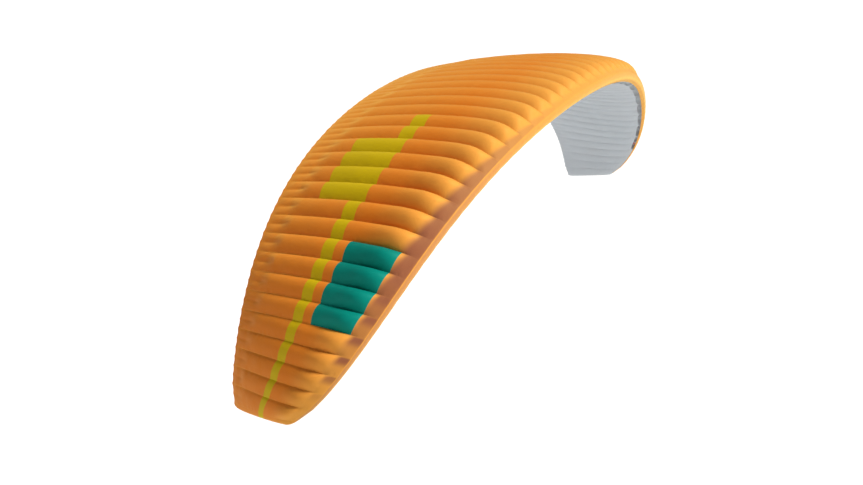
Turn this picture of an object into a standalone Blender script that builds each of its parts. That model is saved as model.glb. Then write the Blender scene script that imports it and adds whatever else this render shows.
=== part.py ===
"""Paraglider wing: an inflated ram-air canopy sewn from thin cloth panels, without its lines.

Units are metres, +Z is up, -Y points forward to the leading edge and +X to the wing's left tip.
The origin is on the lower skin at mid-span, 30 % of the chord behind the nose, where the
suspension lines' load is centred.

The wing is an arched row of cells. Ribs with an aerofoil outline keep the upper and the lower
skin apart, each skin billows outward between two ribs, and the air enters through a slot under
the nose. Every piece of cloth is a sheet of its own, a little clear of its neighbours.
"""

import math

import bpy
from mathutils import Vector

# Span
FLAT_HALF_SPAN = 5.65      # from mid-span to the tip, measured along the arch
CELLS_PER_HALF = 26
TIP_CELL_NARROWING = 0.40  # how much narrower the outermost cell is than the middle ones
NARROWING_REACH = 10.0     # number of cells over which the narrowing fades
ARCH_STEPS = 400           # straight steps that add up to the arch of one half

# Slope of the arch in degrees: the sum of coefficient * share**power
ARCH_SLOPE = [
    # coefficient, power
    (40.2, 1),
    (28.9, 3),
    (-4.6, 5),
    (11.1, 9),
]

# Plan form
ROOT_CHORD = 2.46
TIP_CHORD = 0.85
CHORD_POWER = 2.02
CHORD_ROUNDNESS = 1.38
REFERENCE_CHORD_SHARE = 0.30

# Backward sweep of the reference line in metres: the sum of coefficient * share**power
SWEEP = [
    # coefficient, power
    (0.70, 2),
    (-0.585, 4),
    (0.55, 8),
]
TIP_PITCH = 9.1            # degrees, nose up at the tip
TIP_PITCH_POWER = 6
TIP_CANT = 6.0             # degrees by which the tip's trailing end reaches further out
TIP_CANT_POWER = 40

# Aerofoil
THICKNESS_SHARE = 0.155
CAMBER_SHARE = 0.010
CAMBER_POSITION = 0.30

# Cloth
CLOTH = 0.0015
GAP = 0.0003
EDGE_HALF_HEIGHT = 0.0019  # half the height of the closed trailing edge
RIB_INSET = 0.0028         # from the outer face of a skin to the edge of the rib inside it
RIB_END = 0.955            # chord share where a rib stops short of the trailing edge

# Layout of the pieces
CELLS_PER_PANEL = 4
CELLS_PER_RIB_BAY = 2
CLOSED_CELLS = 4           # cells at each tip that have no air intake

# Rows of the upper skin, from the trailing edge over the nose to the lip of the intake
UPPER_ROWS = [
    # chord share, side (+1 top, -1 underside), billow as a share of the cell's width
    (1.000, +1, 0.000),
    (0.860, +1, 0.060),
    (0.680, +1, 0.085),
    (0.500, +1, 0.105),
    (0.330, +1, 0.125),
    (0.180, +1, 0.150),
    (0.080, +1, 0.145),
    (0.025, +1, 0.040),
    (0.003, +1, 0.010),
    (0.003, -1, 0.010),
    (0.012, -1, 0.010),
]

# Rows of the lower skin behind an open intake, from the front hem to the trailing edge
LOWER_ROWS = [
    # chord share, side, billow as a share of the cell's width
    (0.050, -1, 0.010),
    (0.180, -1, 0.055),
    (0.400, -1, 0.065),
    (0.640, -1, 0.050),
    (0.850, -1, 0.025),
    (1.000, -1, 0.000),
]

# Where the cells have no intake, the lower skin has one more row and reaches the lip
CLOSED_FRONT_ROW = (0.0155, -1, 0.010)

# Tip panels and hem tabs
TIP_CROWN = 0.045          # how far a tip panel bulges outward
TIP_RIDGE_DEPTH = 0.35     # place of its ridge, as a share of the way from top to underside
TIP_RIDGE_ROWS = [0.92, 0.70, 0.48, 0.30, 0.15, 0.05]  # chord shares of the ridge's points
TIP_CLEARANCE = 0.0022     # from the edges of the skins to the outer face of the tip panel
TAB_SEAM = 5               # the seam, counted from the tip, at whose hem the tab is sewn
TAB_WIDTH = 0.030
TAB_LENGTH = 0.035
TAB_THICKNESS = 0.002
TAB_CLEARANCE = 0.0020     # from the front hem to the tab

# Material finishes
FINISHES = {
    # name: (red, green, blue), roughness
    "upper_cloth": ((0.80, 0.33, 0.05), 0.45),
    "lower_cloth": ((0.72, 0.75, 0.77), 0.50),
    "rib_cloth": ((0.62, 0.66, 0.68), 0.55),
    "tip_cloth": ((0.80, 0.30, 0.04), 0.45),
    "tab_webbing": ((0.45, 0.04, 0.03), 0.70),
}

RIB_COUNT = 2 * CELLS_PER_HALF + 1


def lerp(start, end, share):
    """The value or point at a share of the way from start to end."""
    return start * (1.0 - share) + end * share


def power_sum(terms, share):
    """A sum of coefficient * share**power."""
    return sum(coefficient * share ** power for coefficient, power in terms)


def arch_table():
    """Points (x, z) and slope along the arch of the left half, from mid-span to the tip."""
    step = FLAT_HALF_SPAN / ARCH_STEPS
    x, z = 0.0, 0.0
    table = [(x, z, 0.0)]
    for index in range(ARCH_STEPS):
        middle_slope = math.radians(power_sum(ARCH_SLOPE, (index + 0.5) / ARCH_STEPS))
        x += step * math.cos(middle_slope)
        z -= step * math.sin(middle_slope)
        table.append((x, z, math.radians(power_sum(ARCH_SLOPE, (index + 1.0) / ARCH_STEPS))))
    return table


ARCH = arch_table()


def arch_at(share):
    """x, z and slope of the left half's arch at a share of the flat half span."""
    place = min(share, 1.0) * ARCH_STEPS
    index = min(int(place), ARCH_STEPS - 1)
    return [lerp(a, b, place - index) for a, b in zip(ARCH[index], ARCH[index + 1])]


def rib_shares():
    """Signed span share of every rib, from the right tip (-1) to the left tip (+1)."""
    widths = [1.0 - TIP_CELL_NARROWING * math.exp(-cell / NARROWING_REACH)
              for cell in range(CELLS_PER_HALF)]
    total = sum(widths)
    shares = [1.0]
    for width in widths:
        shares.append(shares[-1] - width / total)
    shares[-1] = 0.0
    return [-share for share in shares] + shares[-2::-1]


RIB_SHARES = rib_shares()


def chord_at(share):
    """Chord length at a share of the half span."""
    taper = (1.0 - share ** CHORD_POWER) ** (1.0 / CHORD_ROUNDNESS)
    return TIP_CHORD + (ROOT_CHORD - TIP_CHORD) * taper


def aerofoil(u, side, chord):
    """Height in metres over the chord line, at chord share u, of the top or the underside."""
    polynomial = 0.2969 * math.sqrt(u) - 0.1260 * u - 0.3516 * u ** 2 + 0.2843 * u ** 3
    half_height = 5.0 * THICKNESS_SHARE * (polynomial - 0.1036 * u ** 4)
    if u < CAMBER_POSITION:
        rise = (2.0 * CAMBER_POSITION * u - u ** 2) / CAMBER_POSITION ** 2
    else:
        tail = 1.0 - 2.0 * CAMBER_POSITION + 2.0 * CAMBER_POSITION * u - u ** 2
        rise = tail / (1.0 - CAMBER_POSITION) ** 2
    return chord * (CAMBER_SHARE * rise + side * half_height) + side * EDGE_HALF_HEIGHT * u


class Section:
    """The plane of one rib: where it stands, its axes and its chord."""

    def __init__(self, signed_share):
        share = abs(signed_share)
        hand = math.copysign(1.0, signed_share)
        x, z, slope = arch_at(share)
        pitch = math.radians(TIP_PITCH * share ** TIP_PITCH_POWER)
        outward = Vector((hand * math.sin(slope), 0.0, math.cos(slope)))
        backward = Vector((0.0, 1.0, 0.0))
        self.chord = chord_at(share)
        self.place = Vector((hand * x, power_sum(SWEEP, share), z))
        straight = backward * math.cos(pitch) - outward * math.sin(pitch)
        self.up = backward * math.sin(pitch) + outward * math.cos(pitch)
        cant = math.radians(hand * TIP_CANT * share ** TIP_CANT_POWER)
        self.along = straight * math.cos(cant) + straight.cross(self.up) * math.sin(cant)
        self.span = self.along.cross(self.up)

    def flat_point(self, u, side):
        """Chordwise distance from the reference line, and height, of an outline point."""
        return (u - REFERENCE_CHORD_SHARE) * self.chord, aerofoil(u, side, self.chord)

    def lift(self, distance, height, sideways=0.0):
        """The point in space of a place in the section's plane, shifted along the span."""
        return self.place + self.along * distance + self.up * height + self.span * sideways

    def point(self, u, side):
        """The point in space of an outline point, before the frame is moved to its origin."""
        return self.lift(*self.flat_point(u, side))


SECTIONS = [Section(share) for share in RIB_SHARES]
MIDDLE = SECTIONS[CELLS_PER_HALF]
ORIGIN = MIDDLE.point(REFERENCE_CHORD_SHARE, -1)


def make_material(name):
    """A Principled material from the table of finishes."""
    colour, roughness = FINISHES[name]
    material = bpy.data.materials.new(name)
    material.use_nodes = True
    shader = material.node_tree.nodes["Principled BSDF"]
    shader.inputs["Base Color"].default_value = (*colour, 1.0)
    shader.inputs["Roughness"].default_value = roughness
    shader.inputs["Metallic"].default_value = 0.0
    return material


def add_object(name, points, faces, material):
    """A mesh object whose points are given from the wing's construction point."""
    mesh = bpy.data.meshes.new(name)
    mesh.from_pydata([point - ORIGIN for point in points], [], faces)
    mesh.materials.append(material)
    mesh.validate()
    mesh.update()
    piece = bpy.data.objects.new(name, mesh)
    bpy.context.scene.collection.objects.link(piece)
    return piece


def thicken(piece):
    """Give a single-layer piece the cloth's thickness, towards its inner side."""
    solidify = piece.modifiers.new("cloth", "SOLIDIFY")
    solidify.thickness = CLOTH
    solidify.offset = -1.0
    solidify.use_even_offset = True
    solidify.use_quality_normals = True


def grid_triangles(columns, rows):
    """Triangles of a grid of points stored column by column, wound to face outward."""
    triangles = []
    for column in range(columns - 1):
        for row in range(rows - 1):
            near = column * rows + row
            far = near + rows
            if column % 2:
                triangles += [(near, near + 1, far + 1), (near, far + 1, far)]
            else:
                triangles += [(near, near + 1, far), (near + 1, far + 1, far)]
    return triangles


def cell_crown(left, right, rows):
    """The line along the middle of a cell, billowed outward from its two ribs."""
    left_line = [left.point(u, side) for u, side, _ in rows]
    right_line = [right.point(u, side) for u, side, _ in rows]
    middle_line = [lerp(a, b, 0.5) for a, b in zip(left_line, right_line)]
    crown = []
    for row, (_, _, billow) in enumerate(rows):
        before = middle_line[max(row - 1, 0)]
        after = middle_line[min(row + 1, len(rows) - 1)]
        across = right_line[row] - left_line[row]
        outward = (after - before).cross(across).normalized()
        crown.append(middle_line[row] + outward * billow * across.length)
    return crown


def skin_panel(name, first_rib, rows, material):
    """A panel of skin over some neighbouring cells, seam line and crown line in turn."""
    last_rib = first_rib + CELLS_PER_PANEL
    lines = []
    for rib in range(first_rib, last_rib + 1):
        shift = {first_rib: GAP / 2.0, last_rib: -GAP / 2.0}.get(rib, 0.0)
        section = SECTIONS[rib]
        lines.append([section.lift(*section.flat_point(u, side), shift)
                      for u, side, _ in rows])
        if rib < last_rib:
            lines.append(cell_crown(section, SECTIONS[rib + 1], rows))
    points = [point for line in lines for point in line]
    piece = add_object(name, points, grid_triangles(len(lines), len(rows)), material)
    thicken(piece)
    return piece


def inset_outline(outline, distance):
    """Move every corner of a flat outline, listed anticlockwise, inward by a distance."""
    moved = []
    for index, corner in enumerate(outline):
        before = (corner - outline[index - 1]).normalized()
        after = (outline[(index + 1) % len(outline)] - corner).normalized()
        normal_before = Vector((-before.y, before.x))
        normal_after = Vector((-after.y, after.x))
        reach = distance / (1.0 + normal_before.dot(normal_after))
        moved.append(corner + (normal_before + normal_after) * reach)
    return moved


def rib_outline(section):
    """Flat outline of a rib, inset from both skins, along the skins' straight facets."""
    def rib_end(rows, first, second):
        u_first, u_second = rows[first][0], rows[second][0]
        share = (RIB_END - u_first) / (u_second - u_first)
        start = Vector(section.flat_point(*rows[first][:2]))
        end = Vector(section.flat_point(*rows[second][:2]))
        return lerp(start, end, share)

    upper = [rib_end(UPPER_ROWS, 1, 0)]
    upper += [Vector(section.flat_point(u, side)) for u, side, _ in UPPER_ROWS[1:]]
    lower = [Vector(section.flat_point(u, side)) for u, side, _ in LOWER_ROWS[:-1]]
    lower.append(rib_end(LOWER_ROWS, -2, -1))
    return inset_outline(upper + lower, RIB_INSET)


def rib(name, index, material):
    """A flat rib that stands under the seam line of the skins."""
    section = SECTIONS[index]
    outline = rib_outline(section)
    count = len(outline)
    points = [section.lift(corner.x, corner.y, sideways)
              for sideways in (-CLOTH / 2.0, CLOTH / 2.0) for corner in outline]
    faces = [tuple(reversed(range(count))), tuple(range(count, 2 * count))]
    for corner in range(count):
        following = (corner + 1) % count
        faces.append((corner, following, count + following, count + corner))
    return add_object(name, points, faces, material)


def tip_panel(name, index, hand, material):
    """The crowned panel that closes the outermost cell, from the top seam to the bottom one."""
    section = SECTIONS[index]
    rows = [row[:2] for row in UPPER_ROWS]
    lower = [row[:2] for row in [CLOSED_FRONT_ROW] + LOWER_ROWS]
    top = [section.flat_point(*row) for row in rows]
    bottom = [section.flat_point(*row) for row in lower]
    rim = [Vector(corner) for corner in top + bottom]
    ridge = []
    for u in TIP_RIDGE_ROWS:
        above = Vector(section.flat_point(u, +1))
        below = Vector(section.flat_point(u, -1))
        ridge.append(lerp(above, below, TIP_RIDGE_DEPTH))
    points = [section.lift(corner.x, corner.y, hand * TIP_CLEARANCE) for corner in rim]
    for u, corner in zip(TIP_RIDGE_ROWS, ridge):
        bulge = TIP_CROWN * math.sqrt(4.0 * u * (1.0 - u))
        points.append(section.lift(corner.x, corner.y, hand * (TIP_CLEARANCE + bulge)))

    # Join each rim edge to the nearest ridge point, and step along the ridge where it changes
    def nearest(corner):
        return min(range(len(ridge)), key=lambda place: abs(ridge[place].x - corner.x))

    faces = []
    first_ridge = len(rim)
    for corner in range(len(rim)):
        following = (corner + 1) % len(rim)
        here = nearest(rim[corner])
        there = nearest(rim[following])
        faces.append((corner, following, first_ridge + here))
        step = 1 if there > here else -1
        for place in range(here, there, step):
            faces.append((following, first_ridge + place + step, first_ridge + place))
    if hand < 0:
        faces = [tuple(reversed(face)) for face in faces]
    piece = add_object(name, points, faces, material)
    thicken(piece)
    return piece


def hem_tab(name, index, material):
    """A short webbing tab that stands from the lower skin's front hem into the intake's mouth."""
    hem_row = LOWER_ROWS[0][:2]
    hem = SECTIONS[index].point(*hem_row)
    lip = SECTIONS[index].point(*UPPER_ROWS[-1][:2])
    along_hem = SECTIONS[index + 1].point(*hem_row) - SECTIONS[index - 1].point(*hem_row)
    across = along_hem.normalized()
    forward = (lip - hem - across * (lip - hem).dot(across)).normalized()
    thick = forward.cross(across)
    points = []
    for depth in (-TAB_THICKNESS / 2.0, TAB_THICKNESS / 2.0):
        for reach in (TAB_CLEARANCE, TAB_CLEARANCE + TAB_LENGTH):
            for side in (-TAB_WIDTH / 2.0, TAB_WIDTH / 2.0):
                points.append(hem + forward * reach + across * side + thick * depth)
    faces = [(1, 3, 2, 0), (6, 7, 5, 4), (4, 5, 1, 0), (5, 7, 3, 1), (7, 6, 2, 3), (6, 4, 0, 2)]
    return add_object(name, points, faces, material)


def build():
    """Clear the scene and make every piece of the wing."""
    for old in list(bpy.data.objects):
        bpy.data.objects.remove(old, do_unlink=True)
    materials = {name: make_material(name) for name in FINISHES}

    cells = RIB_COUNT - 1
    for panel in range(cells // CELLS_PER_PANEL):
        first_rib = panel * CELLS_PER_PANEL
        closed = min(first_rib + CELLS_PER_PANEL, cells - first_rib) <= CLOSED_CELLS
        lower_rows = [CLOSED_FRONT_ROW] + LOWER_ROWS if closed else LOWER_ROWS
        skin_panel(f"upper_skin_{panel + 1:02d}", first_rib, UPPER_ROWS, materials["upper_cloth"])
        skin_panel(f"lower_skin_{panel + 1:02d}", first_rib, lower_rows, materials["lower_cloth"])

    for index in range(CELLS_PER_RIB_BAY, RIB_COUNT - 1, CELLS_PER_RIB_BAY):
        rib(f"rib_{index // CELLS_PER_RIB_BAY:02d}", index, materials["rib_cloth"])

    tip_panel("tip_panel_right", 0, -1.0, materials["tip_cloth"])
    tip_panel("tip_panel_left", RIB_COUNT - 1, +1.0, materials["tip_cloth"])
    hem_tab("hem_tab_right", TAB_SEAM, materials["tab_webbing"])
    hem_tab("hem_tab_left", RIB_COUNT - 1 - TAB_SEAM, materials["tab_webbing"])


build()
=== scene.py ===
"""Looks of a paraglider wing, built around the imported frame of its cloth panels.

Units are metres in the frame's own axes: +X to the wing's left tip, -Y forward, +Z up.
The skins, ribs, tip panels and hem tabs of the frame are replaced by fine sheets on the same
sections: cells that billow between their ribs, half cells along the trailing edge, seams with
puckers, scalloped intakes under the nose, and plain colour blocks let into the upper skin.
"""

import math

import bpy
import numpy as np
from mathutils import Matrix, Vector


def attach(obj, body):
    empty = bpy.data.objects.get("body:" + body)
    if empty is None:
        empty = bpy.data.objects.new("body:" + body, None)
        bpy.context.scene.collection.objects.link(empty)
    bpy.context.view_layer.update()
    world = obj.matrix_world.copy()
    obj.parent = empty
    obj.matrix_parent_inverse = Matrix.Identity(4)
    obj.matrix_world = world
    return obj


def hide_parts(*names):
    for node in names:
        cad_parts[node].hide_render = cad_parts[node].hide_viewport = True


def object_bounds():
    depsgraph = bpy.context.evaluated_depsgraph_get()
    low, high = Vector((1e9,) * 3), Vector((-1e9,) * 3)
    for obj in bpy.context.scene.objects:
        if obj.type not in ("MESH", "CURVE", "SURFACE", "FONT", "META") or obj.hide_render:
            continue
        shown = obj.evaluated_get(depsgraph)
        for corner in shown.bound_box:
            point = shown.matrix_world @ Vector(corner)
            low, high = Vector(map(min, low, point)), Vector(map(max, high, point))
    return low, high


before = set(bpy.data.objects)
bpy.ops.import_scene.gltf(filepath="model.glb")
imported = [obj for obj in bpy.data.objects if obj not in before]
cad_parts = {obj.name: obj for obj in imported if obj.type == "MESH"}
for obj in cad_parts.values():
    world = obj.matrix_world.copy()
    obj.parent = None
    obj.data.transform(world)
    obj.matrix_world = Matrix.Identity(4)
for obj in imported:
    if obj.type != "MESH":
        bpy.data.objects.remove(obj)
CAD_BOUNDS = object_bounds()

# ---------------------------------------------------------------- driving dimensions
# Plan, arch and sections of the wing, with the same values as the CAD
FLAT_HALF_SPAN = 5.65
CELLS_PER_HALF = 26
TIP_CELL_NARROWING = 0.40
NARROWING_REACH = 10.0
ARCH_STEPS = 400
ARCH_SLOPE = [(40.2, 1), (28.9, 3), (-4.6, 5), (11.1, 9)]      # degrees: coefficient, power
ROOT_CHORD = 2.46
TIP_CHORD = 0.85
CHORD_POWER = 2.02
CHORD_ROUNDNESS = 1.38
REFERENCE_CHORD_SHARE = 0.30
SWEEP = [(0.70, 2), (-0.585, 4), (0.55, 8)]                    # metres: coefficient, power
TIP_PITCH = 9.1
TIP_PITCH_POWER = 6
TIP_CANT = 6.0
TIP_CANT_POWER = 40
THICKNESS_SHARE = 0.155
ROUND_NOSE_TERM = 0.2969             # terms of a four-digit aerofoil: the root of the chord
BODY_TERMS = (-0.1260, -0.3516, 0.2843, -0.1036)               # share, and its powers 1 to 4
CAMBER_SHARE = 0.010
CAMBER_POSITION = 0.30
EDGE_HALF_HEIGHT = 0.0019

CELLS = 2 * CELLS_PER_HALF
CELLS_PER_PANEL = 4
CELLS_PER_BAY = 2
CLOSED_CELLS = 4
CLOTH = 0.0012

# Mouths of the bays, under the nose
LIP = 0.026                # chord share of the upper skin's lip, on the underside
MOUTH = 0.057              # chord share of the lower skin's front hem in the middle of a bay
LIP_GAP = 0.0006           # chord share left free between the lip and the lower skin
MOUTH_SQUARENESS = 5       # powers that make a mouth an oval with full ends
MOUTH_ROUNDNESS = 0.45
TOOTH_SHARE = 0.06         # how far the pointed tooth of hem between two mouths reaches

# Billow of a cell over its ribs as a share of the cell's width, by chord share
UPPER_BILLOW = [
    # chord share, billow; a negative chord share lies on the underside of the nose
    (-LIP, 0.004),
    (-0.004, 0.005),
    (0.0, 0.006),
    (0.008, 0.008),
    (0.020, 0.022),
    (0.032, 0.060),
    (0.050, 0.150),
    (0.080, 0.205),
    (0.130, 0.195),
    (0.220, 0.145),
    (0.350, 0.112),
    (0.500, 0.098),
    (0.680, 0.088),
    (0.860, 0.070),
    (0.950, 0.048),
    (1.000, 0.012),
]
LOWER_BILLOW = [
    (LIP, 0.006),
    (0.050, 0.012),
    (0.120, 0.038),
    (0.220, 0.052),
    (0.400, 0.060),
    (0.640, 0.053),
    (0.850, 0.040),
    (0.950, 0.026),
    (1.000, 0.008),
]
# The fades here and below count cells from the nearer tip, unless chord shares are named
OUTER_BILLOW = 1.05                  # share by which the cells near the tips billow more
OUTER_BILLOW_FADE = (12.0, 24.0)
TIP_FLATTENING = 1.15                # share by which the last cells billow less again
TIP_FLATTENING_FADE = (1.0, 8.0)
BILLOW_SKEW = 0.24                   # how far the billow leans towards a cell's inner seam
BILLOW_SKEW_FADE = (12.0, 26.0)
BILLOW_DELAY = 1.3                   # share by which the upper billow starts further back
BILLOW_DELAY_FADE = (7.0, 20.0)      # near the tips
BILLOW_DELAY_END = (0.05, 0.35)      # chord shares over which that is made good

# Half cells and scallops along the trailing edge
HALF_CELL_START = 0.80               # chord share where the short ribs begin
HALF_CELL_FULL = 0.90
HALF_CELL_HEIGHT = 0.38              # billow of a half cell beside that of a whole one
EDGE_SCALLOP = 0.009                 # how far the trailing edge draws in between its seams
EDGE_SCALLOP_START = 0.93

# Puckers: wavy lines of relief along the seams and down the middle of a cell
UPPER_PUCKER, UPPER_PUCKER_KNOTS = 0.0022, 60      # height, and waves along the chord
LOWER_PUCKER, LOWER_PUCKER_KNOTS = 0.0016, 50
PUCKER_PLACE = 0.10                  # distance from the seam and spread, in cell widths
PUCKER_SPREAD = 0.09
MIDDLE_PUCKER = 0.8                  # height of the middle line beside that by the seams
MIDDLE_KNOT_SHARE = 3                # it has this many times fewer waves
PUCKER_START = (0.0, 0.05)           # chord shares where the puckers begin
PUCKER_END = (0.9, 1.0)              # and where they fall off
PUCKER_FALL = 0.5                    # by this share of their height

# Painted light and shade on the nose: a painted highlight that lightens the front, a dark band
# of painted shade and a painted reflection on the tube before it
FRONT_FADE = (0.04, 0.36)            # chord shares between which the painted highlight of the front ends
NOSE_BAND_FRONT = (0.0070, 0.0120)   # chord share where the band begins, in mid span and by
NOSE_BAND_INNER = (0.020, 0.080)     # the tips; the same for where it ends at a cell's inner
NOSE_BAND_OUTER = (0.036, 0.120)     # seam, and at its outer seam
NOSE_BAND_FADE = (7.0, 20.0)
BAND_FRONT_EDGE = (0.6, 1.3)         # start and end of its soft edges, beside those places
BAND_REAR_EDGE = (0.65, 1.15)
BAND_APPEARS = (1.0, 4.0)
SPOTS_JOIN = (2.0, 9.0)              # the band begins by the tip as separate spots
SPOT_EDGE = (0.20, 0.60)             # place across a cell where a separate spot ends
BAND_PALING = 0.85                   # share of its tone that the band loses in mid span
BAND_PALES = (11.0, 23.0)
TUBE_START = (-0.006, -0.002)        # chord shares between which the tube begins
TUBE_PALING = 0.7                    # share of its tone that the tube loses in mid span
TUBE_PALES = (12.0, 20.0)

# Grid of the fine sheets
UPPER_STEPS_PER_CELL = 14
LOWER_STEPS_PER_CELL = 12
AFT_ROWS = 96                        # rows from the trailing edge to the start of the nose
NOSE_ROWS = 34
NOSE_START = 0.10                    # chord share where the rows close up for the nose
LOWER_ROWS = 84
LOWER_ROW_POWER = 1.35               # above 1 sets the rows closer near the front hem
NO_SEAMS_INSIDE = 10 ** 6            # columns between the seams of a sheet that has none

# Colour blocks of the upper skin: plain stripe and blocks that end on seams
STRIPE_FRONT, STRIPE_BACK = 0.436, 0.514
STRIPE_SEAMS = 17                    # the stripe runs over this many cells from each tip
# First and last seam from the tip, front and back chord share
LIME_BLOCK = (11, 15, STRIPE_BACK, 0.72)
TEAL_BLOCK = (5, 9, 0.09, 0.37)

# Ribs
RIB_INSET = 0.0030                   # gap between a rib's edge and the skins
RIB_END = 0.955                      # chord share where the ribs end
RIB_STATIONS = 40
RIB_LIP_STATIONS = 6
RIB_SEAM_DISTANCE = 1.0              # far from any seam, so that no seam band shows

# Tip panels
TIP_COLUMNS = 72
TIP_STEPS = 16
TIP_CROWN = 0.048                    # how far the panel bulges beyond the outermost rib
TIP_CROWN_SKEW = 0.55                # below 1 moves the crown towards the upper skin
TIP_CROWN_START = (0.0, 0.12)        # chord shares where the crown rises behind the nose
TIP_CROWN_END_POWER = 24             # the higher, the later it falls towards the trailing edge
TIP_STANDOFF = 0.0004
TIP_SEAM_STEP = 7                    # step below which the panel is white like the underside
MARK_TOLERANCE = 1e-6

# Tabs on the lower skin's front hem, between two mouths
TAB_SEAM = 5
TAB_WIDTH = 0.030
TAB_LENGTH = 0.034
TAB_CLEARANCE = 0.0020
TAB_STEPS = 12
TAB_SAG = 0.0035
TAB_TWIST = 0.3                      # share by which one side sags more than the other

# Weave and seams of the cloth
THREAD_PITCH = 0.006                 # distance between the thicker threads
THREAD_SHARE = 0.14                  # share of that distance a thread takes
SEAM_BAND = 0.011                    # width of the doubled cloth beside a seam
STITCH_INSET = 0.006
STITCH_HALF_WIDTH = 0.0009
STITCH_PITCH = 0.005
STITCH_SHARE = 0.65
STITCH_RISE = 2.0                    # height of a stitch beside that of a thread
SOFT_NOISE = (1.3, 3.0, 0.55)        # scale, detail, roughness
FINE_NOISE = (26.0, 4.0, 0.6)
CRINKLE_NOISE = (9.0, 5.0, 0.55, 0.6)     # and distortion
CRINKLE_RELIEF = (0.35, 0.006)       # strength, height
WEAVE_RELIEF = (0.25, 0.0004)
SHEEN_ROUGHNESS = 0.5
COATING_IOR = 1.45
COATING_GLOSS = 0.22
# How strongly each layer of tone covers the ones below
SOFT_COVER = 0.90
FINE_COVER = 0.12
THREAD_COVER = 0.10
SEAM_COVER = 0.30
STITCH_COVER = 0.55
PAINTED_HIGHLIGHT_COVER = 0.80
PAINTED_SHADE_COVER = 0.90
PAINTED_REFLECTION_COVER = 0.75

# Stage and light
FLOOR_SIZE = 1600.0
FLOOR_DROP = 12.0                    # depth of the floor below the wing
FLOOR_COLOUR = (0.96, 0.95, 0.94, 1.0)
FLOOR_ROUGHNESS = 0.9
WORLD_STRENGTH = 0.22
HORIZON_STRENGTH = 1.2
HORIZON_GLOW = (0.07, 0.16)          # sines of the elevations between which the sky falls off
LAMP_DIRECTION = (0.25, -0.66, 0.71)
LAMP_STRENGTH = 4.75
LAMP_SPREAD = 14.0
LAMP_COLOUR = (1.0, 0.98, 0.96)

# Camera
VIEW_AZIMUTH = -61.36
VIEW_ELEVATION = 20.17
VIEW_DISTANCE = 7.978
VIEW_TARGET = (-3.031, 0.0, -1.207)  # from the arch's top, on the reference line
FOCAL_SHARE = 0.9394                 # focal length as a share of the sensor's width
SENSOR = 36.0
CLIP_END = 1000.0

RANDOM = np.random.RandomState(7)


# ---------------------------------------------------------------- the wing's shape
def power_sum(terms, share):
    """A sum of coefficient * share**power."""
    return sum(coefficient * share ** power for coefficient, power in terms)


def smooth(value, start, end):
    """A soft step from 0 at start to 1 at end."""
    share = np.clip((value - start) / (end - start), 0.0, 1.0)
    return share * share * (3.0 - 2.0 * share)


def fading(value, start, end):
    """A soft step from 1 at start to 0 at end."""
    return 1.0 - smooth(value, start, end)


def arch_tables():
    """Shares of the half span with x, z and slope of the arch there."""
    step = FLAT_HALF_SPAN / ARCH_STEPS
    middles = np.radians(power_sum(ARCH_SLOPE, (np.arange(ARCH_STEPS) + 0.5) / ARCH_STEPS))
    shares = np.arange(ARCH_STEPS + 1) / ARCH_STEPS
    x = np.concatenate([[0.0], np.cumsum(np.cos(middles))]) * step
    z = -np.concatenate([[0.0], np.cumsum(np.sin(middles))]) * step
    return shares, x, z, np.radians(power_sum(ARCH_SLOPE, shares))


def rib_shares():
    """Signed span share of every rib, from the right tip (-1) to the left tip (+1)."""
    widths = 1.0 - TIP_CELL_NARROWING * np.exp(-np.arange(CELLS_PER_HALF) / NARROWING_REACH)
    shares = 1.0 - np.concatenate([[0.0], np.cumsum(widths)]) / widths.sum()
    return np.concatenate([-shares, shares[-2::-1]])


ARCH = arch_tables()
RIB_SHARES = rib_shares()


def chord_at(share):
    """Chord length at a share of the half span."""
    taper = np.clip(1.0 - share ** CHORD_POWER, 0.0, 1.0) ** (1.0 / CHORD_ROUNDNESS)
    return TIP_CHORD + (ROOT_CHORD - TIP_CHORD) * taper


def aerofoil(root, chord):
    """Height over the chord line where root is the signed square root of the chord share."""
    u = root * root
    side = np.where(root >= 0.0, 1.0, -1.0)
    body = sum(term * u ** (power + 1) for power, term in enumerate(BODY_TERMS))
    half = 5.0 * THICKNESS_SHARE * (ROUND_NOSE_TERM * np.abs(root) + body)
    p = CAMBER_POSITION
    front = (2.0 * p * u - u ** 2) / p ** 2
    back = (1.0 - 2.0 * p + 2.0 * p * u - u ** 2) / (1.0 - p) ** 2
    rise = np.where(u < p, front, back)
    return chord * (CAMBER_SHARE * rise + side * half) + side * EDGE_HALF_HEIGHT * u


def section_axes(signed_share):
    """Place, chord direction, upward direction and chord of the section at a span share."""
    share = abs(signed_share)
    hand = 1.0 if signed_share >= 0.0 else -1.0
    x, z, slope = (np.interp(share, ARCH[0], column) for column in ARCH[1:])
    pitch = math.radians(TIP_PITCH * share ** TIP_PITCH_POWER)
    outward = np.array([hand * math.sin(slope), 0.0, math.cos(slope)])
    backward = np.array([0.0, 1.0, 0.0])
    straight = backward * math.cos(pitch) - outward * math.sin(pitch)
    up = backward * math.sin(pitch) + outward * math.cos(pitch)
    cant = math.radians(hand * TIP_CANT * share ** TIP_CANT_POWER)
    along = straight * math.cos(cant) + np.cross(straight, up) * math.sin(cant)
    return np.array([hand * x, power_sum(SWEEP, share), z]), along, up, chord_at(share)


def section_points(rib, root):
    """Points of a rib's outline from the arch's top, at signed roots of the chord shares."""
    place, along, up, chord = section_axes(RIB_SHARES[rib])
    distance = (root * root - REFERENCE_CHORD_SHARE) * chord
    height = aerofoil(root, chord)
    return place + distance[..., None] * along + height[..., None] * up


# The frame's origin: underside of the middle rib, below the reference line
ORIGIN = section_points(CELLS_PER_HALF, np.array(-math.sqrt(REFERENCE_CHORD_SHARE)))


def outline(rib, root):
    """Points of a rib's outline in the frame's axes."""
    return section_points(rib, root) - ORIGIN


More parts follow.
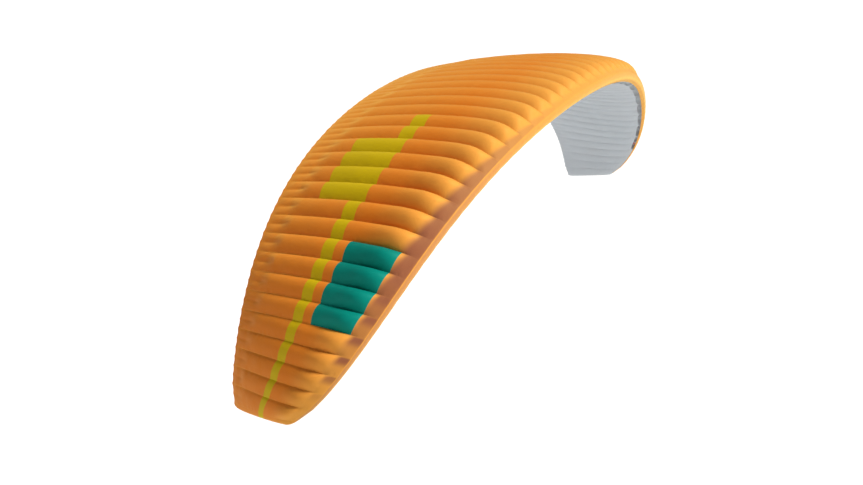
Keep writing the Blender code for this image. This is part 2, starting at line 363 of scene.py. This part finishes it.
# ---------------------------------------------------------------- billow and tones
def table_value(table, key):
    """Smooth reading of a two-column table, with a rounded path through its rows."""
    keys = np.array([row[0] for row in table])
    values = np.array([row[1] for row in table])
    spread = np.sign(keys) * np.sqrt(np.abs(keys))
    place = np.sign(key) * np.sqrt(np.abs(key))
    slopes = np.gradient(values, spread)
    index = np.clip(np.searchsorted(spread, place) - 1, 0, len(keys) - 2)
    gap = spread[index + 1] - spread[index]
    t = np.clip((place - spread[index]) / gap, 0.0, 1.0)
    start = (1 + 2 * t) * (1 - t) ** 2 * values[index] + t * (1 - t) ** 2 * gap * slopes[index]
    end = t * t * (3 - 2 * t) * values[index + 1] + t * t * (t - 1) * gap * slopes[index + 1]
    return start + end


def wavy_line(run, knots):
    """Values around 0 along a line, one for each place from 0 to 1 in run."""
    values = RANDOM.uniform(-1.0, 1.0, knots + 3)
    place = run * knots
    index = np.clip(place.astype(int), 0, knots - 1)
    t = place - index
    blend = t * t * (3 - 2 * t)
    return values[index] * (1 - blend) + values[index + 1] * blend


def cell_arc(s, u, outboard, seams):
    """Height of the billow across a cell, and that of the half cells by the trailing edge.

    The arc rises steeply behind the inner seam and falls gently to the outer one, the more so
    the nearer the cell is to a tip. By the trailing edge it gives way to two small arcs.
    """
    skewed = outboard ** (1.0 - BILLOW_SKEW * fading(seams, *BILLOW_SKEW_FADE))
    whole = 4.0 * skewed * (1.0 - skewed)
    f = (2.0 * s) % 1.0
    halves = HALF_CELL_HEIGHT * 4.0 * f * (1.0 - f)
    blend = smooth(u, HALF_CELL_START, HALF_CELL_FULL)
    return whole * (1.0 - blend) + halves * blend, halves


def billow_at(table, root, seams):
    """Billow of a cell beside its width; on the upper skin it starts later near the tips."""
    key = root * root
    if root[0, 0] > 0.0:
        delay = 1.0 + BILLOW_DELAY * fading(seams, *BILLOW_DELAY_FADE)
        key = np.sign(root) * key / (delay + (1.0 - delay) * smooth(key, *BILLOW_DELAY_END))
    more = OUTER_BILLOW * fading(seams, *OUTER_BILLOW_FADE)
    less = TIP_FLATTENING * fading(seams, *TIP_FLATTENING_FADE)
    return table_value(table, key) * (1.0 + more - less)


def painted_nose_shading(u, outboard, seams):
    """Painted shading of the nose: up to 1 in a dark band of painted shade, below 0 where a
    painted reflection lightens the tube before it.

    u is the signed chord share, outboard runs from 0 at a cell's inner seam to 1 at its outer
    one, and seams counts the cells from the tip. The band has a scalloped edge behind each
    seam, and begins by the tip as separate spots.
    """
    outer = fading(seams, *NOSE_BAND_FADE)
    first, inner, last = [middle + (tips - middle) * outer for middle, tips in
                          (NOSE_BAND_FRONT, NOSE_BAND_INNER, NOSE_BAND_OUTER)]
    back = inner + (last - inner) * outboard
    front = smooth(u, BAND_FRONT_EDGE[0] * first, BAND_FRONT_EDGE[1] * first)
    rear = fading(u, BAND_REAR_EDGE[0] * back, BAND_REAR_EDGE[1] * back)
    spot = 1.0 - fading(seams, *SPOTS_JOIN) * smooth(outboard, *SPOT_EDGE)
    strength = smooth(seams, *BAND_APPEARS) * (1.0 - BAND_PALING * smooth(seams, *BAND_PALES))
    tube = smooth(u, *TUBE_START) * (1.0 - front)
    tube = tube * (1.0 - TUBE_PALING * smooth(seams, *TUBE_PALES))
    return front * rear * spot * strength - tube


# ---------------------------------------------------------------- sheets of cloth
def cloth_uv(points):
    """Distances in metres over the cloth, along the span and along the chord."""
    span_steps = np.linalg.norm(np.diff(points, axis=0), axis=2)
    middle = points.shape[1] // 2
    span = np.concatenate([[0.0], np.cumsum(span_steps[:, middle])])
    chord_steps = np.linalg.norm(np.diff(points, axis=1), axis=2)
    chord = np.concatenate([np.zeros((len(points), 1)), np.cumsum(chord_steps, axis=1)], axis=1)
    return np.stack([np.repeat(span[:, None], points.shape[1], axis=1), chord], axis=2)


class Sheet:
    """A grid of cloth from which pieces are cut, with seam distances and painted nose shading."""

    def __init__(self, points, seam, nose, front, steps=NO_SEAMS_INSIDE):
        self.points = points
        self.columns, self.rows = points.shape[:2]
        self.seam, self.nose, self.front = seam, nose, front
        self.steps = steps
        self.uv = cloth_uv(points)

    def quads(self):
        """Column and row of every quad as two flat arrays."""
        column, row = np.meshgrid(np.arange(self.columns - 1), np.arange(self.rows - 1),
                                  indexing="ij")
        return column.ravel(), row.ravel()

    def flat_size(self, column, row):
        """Width, length and area of a piece laid flat: its longest runs and its quads' area."""
        patch = self.points[column.min():column.max() + 2, row.min():row.max() + 2]
        width = np.linalg.norm(np.diff(patch, axis=0), axis=2).sum(axis=0).max()
        length = np.linalg.norm(np.diff(patch, axis=1), axis=2).sum(axis=1).max()
        down = self.points[column + 1, row + 1] - self.points[column, row]
        over = self.points[column, row + 1] - self.points[column + 1, row]
        area = 0.5 * np.linalg.norm(np.cross(down, over), axis=1).sum()
        return float(width), float(length), float(min(area, width * length))


def grow_skin(root_of, billow, steps, pucker, knots):
    """A whole skin as one sheet, made column by column from the right tip.

    root_of gives the signed roots of the chord shares for a cell and the places across it.
    """
    points, seam_distance, shares, tones = [], [], [], []
    left_noise = None
    for cell in range(CELLS):
        places = np.arange(steps + (cell == CELLS - 1)) / steps
        s = places[:, None]
        outboard = 1.0 - s if cell < CELLS_PER_HALF else s
        seams = min(cell + 1, CELLS - cell)
        root = root_of(cell, places)
        u = root * root
        left, right = outline(cell, root), outline(cell + 1, root)
        across = right - left
        base = left + across * s[..., None]
        width = np.linalg.norm(across, axis=2)
        outward = np.cross(np.gradient(base, axis=1), across)
        outward /= np.linalg.norm(outward, axis=2)[..., None]
        arc, halves = cell_arc(s, u, outboard, seams)

        run = np.linspace(0.0, 1.0, root.shape[1])
        if left_noise is None:
            left_noise = wavy_line(run, knots)
        right_noise = wavy_line(run, knots)
        waves = np.exp(-((s - PUCKER_PLACE) / PUCKER_SPREAD) ** 2) * left_noise
        waves = waves + np.exp(-((1.0 - s - PUCKER_PLACE) / PUCKER_SPREAD) ** 2) * right_noise
        middle = np.sin(math.pi * s) ** 2 * wavy_line(run, knots // MIDDLE_KNOT_SHARE)
        fade = smooth(u, *PUCKER_START) * (1.0 - PUCKER_FALL * smooth(u, *PUCKER_END))
        left_noise = right_noise

        offset = billow_at(billow, root, seams) * width * arc
        offset += pucker * fade * (waves + MIDDLE_PUCKER * middle)
        moved = base + outward * offset[..., None]
        draw_in = EDGE_SCALLOP * halves / HALF_CELL_HEIGHT * smooth(u, EDGE_SCALLOP_START, 1.0)
        moved -= section_axes(RIB_SHARES[cell])[1] * draw_in[..., None]
        points.append(moved)
        seam_distance.append(np.minimum(s, 1.0 - s) * width)
        shares.append(u)
        # painted shade in the nose band and painted reflection on the tube
        tones.append(painted_nose_shading(np.sign(root) * u, outboard, seams))
    # Mask of the painted highlight that lightens the front of the nose
    front = fading(np.concatenate(shares), *FRONT_FADE)
    return Sheet(np.concatenate(points), np.concatenate(seam_distance), np.concatenate(tones),
                 front, steps)


def add_piece(name, mesh, replaced, lined=False):
    """Put a piece of cloth in the scene: its thickness goes towards the inside of the wing."""
    piece = bpy.data.objects.new(name, mesh)
    bpy.context.scene.collection.objects.link(piece)
    solidify = piece.modifiers.new("cloth", "SOLIDIFY")
    solidify.thickness = CLOTH
    solidify.offset = -1.0
    solidify.use_even_offset = True
    solidify.material_offset = int(lined)
    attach(piece, "root")
    if replaced:
        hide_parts(*replaced)


def set_values(mesh, label, values):
    """Give a mesh one number for each point."""
    layer = mesh.attributes.new(label, "FLOAT", "POINT")
    layer.data.foreach_set("value", values.astype(np.float32))


def set_uv(mesh, uv):
    """Give a mesh its place on the cloth, one pair for each corner."""
    layer = mesh.uv_layers.new(name="cloth")
    layer.data.foreach_set("uv", uv.astype(np.float32).ravel())


def cut_piece(name, sheet, column, row, material, slot, replaced=(), lining=None):
    """A piece of cloth made of the chosen quads of a sheet."""
    rows = sheet.rows
    near = column * rows + row
    faces = np.stack([near, near + 1, near + rows + 1, near + rows], axis=1)
    used, faces = np.unique(faces, return_inverse=True)
    faces = faces.reshape(-1, 4)
    mesh = bpy.data.meshes.new(name)
    mesh.from_pydata(sheet.points.reshape(-1, 3)[used].tolist(), [], faces.tolist())
    set_uv(mesh, sheet.uv.reshape(-1, 2)[used][faces.ravel()])
    # nose and front hold the painted shade, reflection and highlight of the nose
    for label, values in (("seam", sheet.seam), ("nose", sheet.nose), ("front", sheet.front)):
        set_values(mesh, label, values.ravel()[used])
    mesh.shade_smooth()

    # Edges on a seam or on the border of the piece stay sharp
    ends = np.zeros(len(mesh.edges) * 2, np.int32)
    mesh.edges.foreach_get("vertices", ends)
    ends = used[ends].reshape(-1, 2) // rows
    on_seam = (ends[:, 0] == ends[:, 1]) & (ends[:, 0] % sheet.steps == 0)
    corner_edges = np.zeros(len(mesh.loops), np.int32)
    mesh.loops.foreach_get("edge_index", corner_edges)
    on_border = np.bincount(corner_edges, minlength=len(mesh.edges)) == 1
    sharp = mesh.attributes.new("sharp_edge", "BOOLEAN", "EDGE")
    sharp.data.foreach_set("value", on_seam | on_border)

    mesh.materials.append(material)
    if lining:
        mesh.materials.append(lining)
    width, length, area = sheet.flat_size(column, row)
    add_piece(name, mesh, replaced, lining is not None)


# ---------------------------------------------------------------- materials
def node(tree, kind, inputs=(), **settings):
    """A shader node with its settings and plain input values."""
    made = tree.nodes.new(kind)
    for key, value in settings.items():
        setattr(made, key, value)
    for key, value in dict(inputs).items():
        made.inputs[key].default_value = value
    return made


def math_node(tree, operation, first, second=None, clamp=False):
    """A Math node over sockets or plain numbers."""
    made = node(tree, "ShaderNodeMath", operation=operation, use_clamp=clamp)
    for index, value in enumerate((first, second)):
        if value is None:
            continue
        if isinstance(value, (int, float)):
            made.inputs[index].default_value = value
        else:
            tree.links.new(value, made.inputs[index])
    return made.outputs[0]


def laid_over(tree, below, mask, strength, colour):
    """Colour laid over another one, a socket or plain, where a mask of 0 to 1 says so."""
    made = node(tree, "ShaderNodeMix", {7: (*colour, 1.0)}, data_type="RGBA")
    tree.links.new(math_node(tree, "MULTIPLY", mask, strength, clamp=True), made.inputs[0])
    if isinstance(below, tuple):
        made.inputs[6].default_value = (*below, 1.0)
    else:
        tree.links.new(below, made.inputs[6])
    return made.outputs[2]


def grid_line(tree, coordinate, pitch, width):
    """1 on thin lines of a grid along one coordinate, 0 between them."""
    place = math_node(tree, "FRACT", math_node(tree, "DIVIDE", coordinate, pitch))
    return math_node(tree, "LESS_THAN", place, width)


def noise(tree, place, scale, detail, roughness, distortion=0.0):
    """Noise over a place, around one half."""
    made = node(tree, "ShaderNodeTexNoise", {"Scale": scale, "Detail": detail,
                                             "Roughness": roughness, "Distortion": distortion})
    tree.links.new(place, made.inputs["Vector"])
    return made.outputs["Fac"]


def relief(tree, height, strength, distance, below=None):
    """Normal of a fine relief, on top of another one if there is one below."""
    made = node(tree, "ShaderNodeBump", {"Strength": strength, "Distance": distance})
    tree.links.new(height, made.inputs["Height"])
    if below:
        tree.links.new(below, made.inputs["Normal"])
    return made.outputs["Normal"]


def attribute(tree, label):
    """One number for each point, as set_values gave it to the mesh."""
    return node(tree, "ShaderNodeAttribute", attribute_name=label).outputs["Fac"]


def ripstop(name, colour, shade, light, gloss, seam_tone, roughness, sheen,
            translucent=0.0, glow=None, painted_highlight_tone=None, painted_shade_tone=None, painted_reflection_tone=None,
            pitch=THREAD_PITCH):
    """Coated ripstop cloth: a grid of thicker threads, crinkles, seam bands and stitches.

    colour and shade are its main tones, light is that of its threads and stitches, and glow
    that of the light it lets through. The last three tones are painted light and shade on the
    nose:
    a painted highlight on the front, a band of painted shade and a painted reflection on the
    tube.
    """
    material = bpy.data.materials.new(name)
    material.use_nodes = True
    tree = material.node_tree
    tree.nodes.clear()
    output = node(tree, "ShaderNodeOutputMaterial")
    shader = node(tree, "ShaderNodeBsdfPrincipled", {
        "Roughness": roughness, "Sheen Weight": sheen, "Sheen Roughness": SHEEN_ROUGHNESS,
        "Sheen Tint": (*gloss, 1.0), "IOR": COATING_IOR, "Specular IOR Level": COATING_GLOSS,
        "Specular Tint": (*gloss, 1.0)})
    split = node(tree, "ShaderNodeSeparateXYZ")
    tree.links.new(node(tree, "ShaderNodeUVMap", uv_map="cloth").outputs[0], split.inputs[0])
    across, along = split.outputs[0], split.outputs[1]
    place = node(tree, "ShaderNodeTexCoord").outputs["Object"]

    # Large, soft differences of tone between the cells, and small ones within them
    base = laid_over(tree, shade, noise(tree, place, *SOFT_NOISE), SOFT_COVER, colour)
    base = laid_over(tree, base, noise(tree, place, *FINE_NOISE), FINE_COVER, light)

    # Thicker threads every few millimetres both ways
    threads = math_node(tree, "MAXIMUM", grid_line(tree, across, pitch, THREAD_SHARE),
                        grid_line(tree, along, pitch, THREAD_SHARE))
    base = laid_over(tree, base, threads, THREAD_COVER, light)

    # Band of doubled cloth along a seam, with a row of stitches in it
    seam = attribute(tree, "seam")
    band = math_node(tree, "LESS_THAN", seam, SEAM_BAND)
    base = laid_over(tree, base, band, SEAM_COVER, seam_tone)
    off_row = math_node(tree, "ABSOLUTE", math_node(tree, "SUBTRACT", seam, STITCH_INSET))
    in_row = math_node(tree, "LESS_THAN", off_row, STITCH_HALF_WIDTH)
    dash = grid_line(tree, along, STITCH_PITCH, STITCH_SHARE)
    stitches = math_node(tree, "MULTIPLY", in_row, dash)
    base = laid_over(tree, base, stitches, STITCH_COVER, light)

    # Painted light and shade on the nose: a painted highlight on the front, a band of painted
    # shade and a painted reflection on the tube before it
    if painted_shade_tone:
        nose = attribute(tree, "nose")
        base = laid_over(tree, base, attribute(tree, "front"), PAINTED_HIGHLIGHT_COVER, painted_highlight_tone)
        base = laid_over(tree, base, nose, PAINTED_SHADE_COVER, painted_shade_tone)
        base = laid_over(tree, base, nose, -PAINTED_REFLECTION_COVER, painted_reflection_tone)
    tree.links.new(base, shader.inputs["Base Color"])

    # Relief: crinkles, and on them the threads and stitches
    crinkles = relief(tree, noise(tree, place, *CRINKLE_NOISE), *CRINKLE_RELIEF)
    raised = math_node(tree, "ADD", threads, math_node(tree, "MULTIPLY", stitches, STITCH_RISE))
    weave = relief(tree, raised, *WEAVE_RELIEF, below=crinkles)
    tree.links.new(weave, shader.inputs["Normal"])

    if translucent:
        behind = node(tree, "ShaderNodeBsdfTranslucent", {"Color": (*glow, 1.0)})
        mixed = node(tree, "ShaderNodeMixShader", {0: translucent})
        tree.links.new(shader.outputs[0], mixed.inputs[1])
        tree.links.new(behind.outputs[0], mixed.inputs[2])
        tree.links.new(mixed.outputs[0], output.inputs[0])
    else:
        tree.links.new(shader.outputs[0], output.inputs[0])
    return material


# The orange's three nose tones are painted light and shade: highlight, shade band and reflection
ORANGE = ripstop(
    "orange_ripstop", colour=(0.73, 0.165, 0.006), shade=(0.69, 0.142, 0.0045),
    light=(0.86, 0.42, 0.08), gloss=(1.0, 0.74, 0.14), seam_tone=(0.76, 0.24, 0.02),
    roughness=0.50, sheen=0.55, translucent=0.08, glow=(0.90, 0.20, 0.02),
    painted_highlight_tone=(0.73, 0.34, 0.060), painted_shade_tone=(0.225, 0.064, 0.046),
    painted_reflection_tone=(0.46, 0.20, 0.085))
LIME = ripstop(
    "lime_ripstop", colour=(0.62, 0.43, 0.001), shade=(0.56, 0.375, 0.001),
    light=(0.72, 0.60, 0.02), gloss=(1.0, 0.90, 0.15), seam_tone=(0.64, 0.48, 0.005),
    roughness=0.52, sheen=0.12, translucent=0.08, glow=(0.60, 0.46, 0.003))
TEAL = ripstop(
    "teal_ripstop", colour=(0.0004, 0.235, 0.180), shade=(0.0003, 0.185, 0.140),
    light=(0.005, 0.32, 0.26), gloss=(0.3, 0.9, 0.8), seam_tone=(0.001, 0.26, 0.20),
    roughness=0.55, sheen=0.02, translucent=0.12, glow=(0.0005, 0.16, 0.12))
WHITE = ripstop(
    "white_ripstop", colour=(0.66, 0.70, 0.73), shade=(0.61, 0.65, 0.68),
    light=(0.75, 0.78, 0.81), gloss=(1.0, 1.0, 1.0), seam_tone=(0.68, 0.72, 0.75),
    roughness=0.55, sheen=0.05, translucent=0.55, glow=(0.86, 0.90, 0.93))
PALE = {
    "colour": (0.90, 0.93, 0.95), "shade": (0.86, 0.89, 0.91), "light": (0.92, 0.95, 0.96),
    "gloss": (1.0, 1.0, 1.0), "seam_tone": (0.80, 0.84, 0.86), "roughness": 0.60, "sheen": 0.03,
}
LINING = ripstop("pale_lining", **PALE, translucent=0.30, glow=(0.84, 0.86, 0.88))
RIB_WHITE = ripstop("rib_ripstop", **PALE, translucent=0.45, glow=(0.84, 0.88, 0.90))
WEBBING = ripstop(
    "red_webbing", colour=(0.36, 0.012, 0.008), shade=(0.30, 0.010, 0.007),
    light=(0.50, 0.05, 0.03), gloss=(1.0, 0.6, 0.5), seam_tone=(0.36, 0.012, 0.008),
    roughness=0.70, sheen=0.10, pitch=0.0016)


# ---------------------------------------------------------------- upper and lower skins
def upper_rows():
    """Signed roots of the chord shares from the trailing edge over the nose to the lip."""
    aft = np.linspace(1.0, NOSE_START, AFT_ROWS + 1)
    nose = np.linspace(math.sqrt(NOSE_START), -math.sqrt(LIP), NOSE_ROWS + 1)[1:]
    for mark in (STRIPE_FRONT, STRIPE_BACK, *LIME_BLOCK[2:], *TEAL_BLOCK[2:]):
        if mark > NOSE_START:
            aft[np.argmin(np.abs(aft - mark))] = mark
        else:
            nose[np.argmin(np.abs(nose - math.sqrt(mark)))] = math.sqrt(mark)
    return np.concatenate([np.sqrt(aft), nose])


UPPER_ROOTS = upper_rows()


def upper_root_of(cell, places):
    """Every column of the upper skin has the same rows."""
    return np.repeat(UPPER_ROOTS[None, :], len(places), axis=0)


def lower_root_of(cell, places):
    """Rows of the lower skin from its front edge, which leaves an oval mouth in each bay."""
    front = np.full(len(places), LIP + LIP_GAP)
    if CLOSED_CELLS <= cell < CELLS - CLOSED_CELLS:
        across_bay = (places + (cell % CELLS_PER_BAY)) / CELLS_PER_BAY
        to_end = np.abs(2.0 * across_bay - 1.0) ** MOUTH_SQUARENESS
        oval = np.clip(1.0 - to_end, 0.0, 1.0) ** MOUTH_ROUNDNESS
        front += (MOUTH - LIP) * np.clip(oval * (1.0 + TOOTH_SHARE) - TOOTH_SHARE, 0.0, 1.0)
    share = np.linspace(0.0, 1.0, LOWER_ROWS + 1) ** LOWER_ROW_POWER
    u = front[:, None] + (1.0 - front[:, None]) * share[None, :]
    return -np.sqrt(u)


def row_of(chord_share):
    """The row of the upper skin at a chord share on the top."""
    return int(np.argmin(np.abs(UPPER_ROOTS - math.sqrt(chord_share))))


def block_mask(column, row, first, last, front, back):
    """Quads of the upper skin inside a block, on both halves of the wing."""
    cell = column // UPPER_STEPS_PER_CELL
    from_tip = np.minimum(cell, CELLS - 1 - cell)
    in_rows = (row >= row_of(back)) & (row < row_of(front))
    return (from_tip >= first) & (from_tip < last) & in_rows


def cut_panels(skin, kind, column, row, keep, material, lining=None):
    """Cut a skin into panels, each of which stands for one panel of the frame."""
    wide = CELLS_PER_PANEL * skin.steps
    for panel in range(CELLS // CELLS_PER_PANEL):
        inside = keep & (column // wide == panel)
        number = f"{panel + 1:02d}"
        cut_piece(f"{kind}_cloth_{number}", skin, column[inside], row[inside], material,
                  f"{kind}_cloth", [f"{kind}_skin_{number}"], lining)


def make_upper_skin():
    """The orange panels and the colour blocks let into them."""
    skin = grow_skin(upper_root_of, UPPER_BILLOW, UPPER_STEPS_PER_CELL, UPPER_PUCKER,
                     UPPER_PUCKER_KNOTS)
    column, row = skin.quads()
    lime = block_mask(column, row, 0, STRIPE_SEAMS, STRIPE_FRONT, STRIPE_BACK)
    lime |= block_mask(column, row, *LIME_BLOCK)
    teal = block_mask(column, row, *TEAL_BLOCK)
    cut_panels(skin, "upper", column, row, ~(lime | teal), ORANGE, LINING)
    right = column < (skin.columns - 1) // 2
    for hand_name, half in (("right", right), ("left", ~right)):
        for kind, mask, material in (("lime", lime, LIME), ("teal", teal, TEAL)):
            chosen = mask & half
            cut_piece(f"{kind}_inlay_{hand_name}", skin, column[chosen], row[chosen], material,
                      f"{kind}_cloth", lining=LINING)


def make_lower_skin():
    """The white panels of the underside."""
    skin = grow_skin(lower_root_of, LOWER_BILLOW, LOWER_STEPS_PER_CELL, LOWER_PUCKER,
                     LOWER_PUCKER_KNOTS)
    column, row = skin.quads()
    cut_panels(skin, "lower", column, row, np.ones(len(column), bool), WHITE)


# ---------------------------------------------------------------- ribs
def make_rib(name, rib, replaced):
    """A flat rib inside the skins, open between the lip and the mouth's rear edge."""
    place, along, up, chord = section_axes(RIB_SHARES[rib])
    top = np.linspace(math.sqrt(RIB_END), 0.0, RIB_STATIONS)
    under = -np.linspace(0.0, math.sqrt(LIP), RIB_LIP_STATIONS)[1:]
    rear = -np.linspace(math.sqrt(MOUTH), math.sqrt(RIB_END), RIB_STATIONS)
    root = np.concatenate([top, under, rear])
    flat = np.stack([root * root * chord, aerofoil(root, chord)], axis=1)
    before = flat - np.roll(flat, 1, axis=0)
    after = np.roll(flat, -1, axis=0) - flat
    turn = np.stack([-(before + after)[:, 1], (before + after)[:, 0]], axis=1)
    flat += RIB_INSET * turn / np.linalg.norm(turn, axis=1)[:, None]
    start = place - REFERENCE_CHORD_SHARE * chord * along - ORIGIN
    span = np.cross(along, up)
    points = start + flat[:, :1] * along + flat[:, 1:] * up + span * CLOTH / 2.0
    mesh = bpy.data.meshes.new(name)
    mesh.from_pydata(points.tolist(), [], [tuple(range(len(points)))])
    set_uv(mesh, flat)
    set_values(mesh, "seam", np.full(len(points), RIB_SEAM_DISTANCE))
    mesh.materials.append(RIB_WHITE)
    add_piece(name, mesh, replaced)


def make_ribs():
    """Every rib between the tips: the ones that carry lines stand for the frame's ribs."""
    for rib in range(1, CELLS):
        carries = rib % CELLS_PER_BAY == 0
        replaced = [f"rib_{rib // CELLS_PER_BAY:02d}"] if carries else []
        kind = "rib" if carries else "plain_rib"
        make_rib(f"{kind}_cloth_{rib:02d}", rib, replaced)


# ---------------------------------------------------------------- tips
def make_tip_panel(hand_name, rib, hand):
    """The crowned panel that closes the outermost cell, with the stripe let into it."""
    along, up = section_axes(RIB_SHARES[rib])[1:3]
    roots = np.sin(np.linspace(0.0, math.pi / 2.0, TIP_COLUMNS + 1))
    for mark in (STRIPE_FRONT, STRIPE_BACK):
        roots[np.argmin(np.abs(roots - math.sqrt(mark)))] = math.sqrt(mark)
    top = outline(rib, roots)
    bottom = outline(rib, -roots)
    r = np.linspace(0.0, 1.0, TIP_STEPS + 1)[:, None]
    skewed = r ** TIP_CROWN_SKEW
    rise = smooth(roots ** 2, *TIP_CROWN_START) * (1.0 - roots ** TIP_CROWN_END_POWER)
    crown = TIP_CROWN * np.sqrt(np.clip(4.0 * skewed * (1.0 - skewed), 0.0, 1.0)) * np.sqrt(rise)
    outward = np.cross(along, up) * hand * (crown + TIP_STANDOFF)[..., None]
    points = top * (1.0 - r[..., None]) + bottom * r[..., None] + outward
    if hand > 0:
        points = points[::-1]
    seam = np.minimum(r, 1.0 - r) * np.linalg.norm(top - bottom, axis=1)
    # Mask of the painted highlight on the panel's front
    front = np.repeat(fading(roots[None, :] ** 2, *FRONT_FADE), TIP_STEPS + 1, axis=0)
    tip = Sheet(points, seam, np.zeros_like(seam), front)

    column, row = tip.quads()
    u = roots[row] + MARK_TOLERANCE
    in_stripe = (u >= math.sqrt(STRIPE_FRONT)) & (u < math.sqrt(STRIPE_BACK))
    depth = TIP_STEPS - 1 - column if hand > 0 else column
    below = depth >= TIP_SEAM_STEP
    for label, mask, material, slot, replaced in (
            ("tip_cloth", ~in_stripe & ~below, ORANGE, "upper_cloth", [f"tip_panel_{hand_name}"]),
            ("tip_stripe", in_stripe & ~below, LIME, "lime_cloth", []),
            ("tip_underside", below, WHITE, "lower_cloth", [])):
        cut_piece(f"{label}_{hand_name}", tip, column[mask], row[mask], material, slot,
                  replaced, LINING)


# ---------------------------------------------------------------- tabs at the mouths' hems
def make_hem_tab(hand_name, rib):
    """A short end of tape that stands from the lower skin's front hem into the mouth."""
    hem_root = np.array(-math.sqrt(MOUTH))
    hem = outline(rib, hem_root)
    across = outline(rib + 1, hem_root) - outline(rib - 1, hem_root)
    across /= np.linalg.norm(across)
    forward = outline(rib, np.array(-math.sqrt(LIP))) - hem
    forward -= across * float(np.dot(forward, across))
    forward /= np.linalg.norm(forward)
    thick = np.cross(forward, across)
    reach = np.linspace(0.0, 1.0, TAB_STEPS + 1)[None, :, None]
    side = np.linspace(-0.5, 0.5, TAB_STEPS + 1)[:, None, None]
    bend = TAB_SAG * np.sin(math.pi * reach) * (1.0 - TAB_TWIST * side)
    points = (hem + forward * (TAB_CLEARANCE + TAB_LENGTH * reach)
              + across * TAB_WIDTH * side + thick * bend)
    seam = np.repeat(TAB_LENGTH * reach[:, :, 0] + TAB_CLEARANCE, TAB_STEPS + 1, axis=0)
    tab = Sheet(points, seam, np.zeros_like(seam), np.zeros_like(seam))
    cut_piece(f"tab_tape_{hand_name}", tab, *tab.quads(), WEBBING, "tab_webbing",
              [f"hem_tab_{hand_name}"])


# ---------------------------------------------------------------- stage
def make_floor():
    """Pale floor well below the wing."""
    height = CAD_BOUNDS[0][2] - FLOOR_DROP
    bpy.ops.mesh.primitive_plane_add(size=FLOOR_SIZE, location=(0.0, 0.0, height))
    floor = bpy.context.active_object
    floor.name = "floor"
    material = bpy.data.materials.new("pale_floor")
    material.use_nodes = True
    shader = material.node_tree.nodes["Principled BSDF"]
    shader.inputs["Base Color"].default_value = FLOOR_COLOUR
    shader.inputs["Roughness"].default_value = FLOOR_ROUGHNESS
    floor.data.materials.append(material)


def make_light():
    """Even white sky that is brighter at the horizon, and one soft lamp."""
    bpy.context.scene.view_settings.view_transform = "Standard"
    world = bpy.data.worlds.new("soft_world")
    bpy.context.scene.world = world
    world.use_nodes = True
    tree = world.node_tree
    background = tree.nodes["Background"]
    background.inputs["Color"].default_value = (1.0, 1.0, 1.0, 1.0)
    split = node(tree, "ShaderNodeSeparateXYZ")
    tree.links.new(node(tree, "ShaderNodeTexCoord").outputs["Generated"], split.inputs[0])
    fall = node(tree, "ShaderNodeMapRange", {
        "From Min": HORIZON_GLOW[0], "From Max": HORIZON_GLOW[1],
        "To Min": HORIZON_STRENGTH, "To Max": WORLD_STRENGTH})
    tree.links.new(split.outputs["Z"], fall.inputs["Value"])
    tree.links.new(fall.outputs[0], background.inputs["Strength"])

    lamp = bpy.data.lights.new("key", "SUN")
    lamp.energy = LAMP_STRENGTH
    lamp.angle = math.radians(LAMP_SPREAD)
    lamp.color = LAMP_COLOUR
    holder = bpy.data.objects.new("key", lamp)
    bpy.context.scene.collection.objects.link(holder)
    holder.rotation_euler = Vector(LAMP_DIRECTION).to_track_quat("Z", "Y").to_euler()


def make_camera():
    """Camera off the wing's right front, above it."""
    azimuth, elevation = math.radians(VIEW_AZIMUTH), math.radians(VIEW_ELEVATION)
    back = Vector((math.sin(azimuth) * math.cos(elevation),
                   -math.cos(azimuth) * math.cos(elevation), math.sin(elevation)))
    camera_data = bpy.data.cameras.new("camera")
    camera_data.sensor_width = SENSOR
    camera_data.lens = FOCAL_SHARE * SENSOR
    camera_data.clip_end = CLIP_END
    camera = bpy.data.objects.new("camera", camera_data)
    bpy.context.scene.collection.objects.link(camera)
    camera.location = Vector(VIEW_TARGET) - Vector(ORIGIN) + back * VIEW_DISTANCE
    camera.rotation_euler = back.to_track_quat("Z", "Y").to_euler()
    bpy.context.scene.camera = camera


make_upper_skin()
make_lower_skin()
make_ribs()
make_tip_panel("right", 0, -1.0)
make_tip_panel("left", CELLS, 1.0)
make_hem_tab("right", TAB_SEAM)
make_hem_tab("left", CELLS - TAB_SEAM)
make_floor()
make_light()
make_camera()
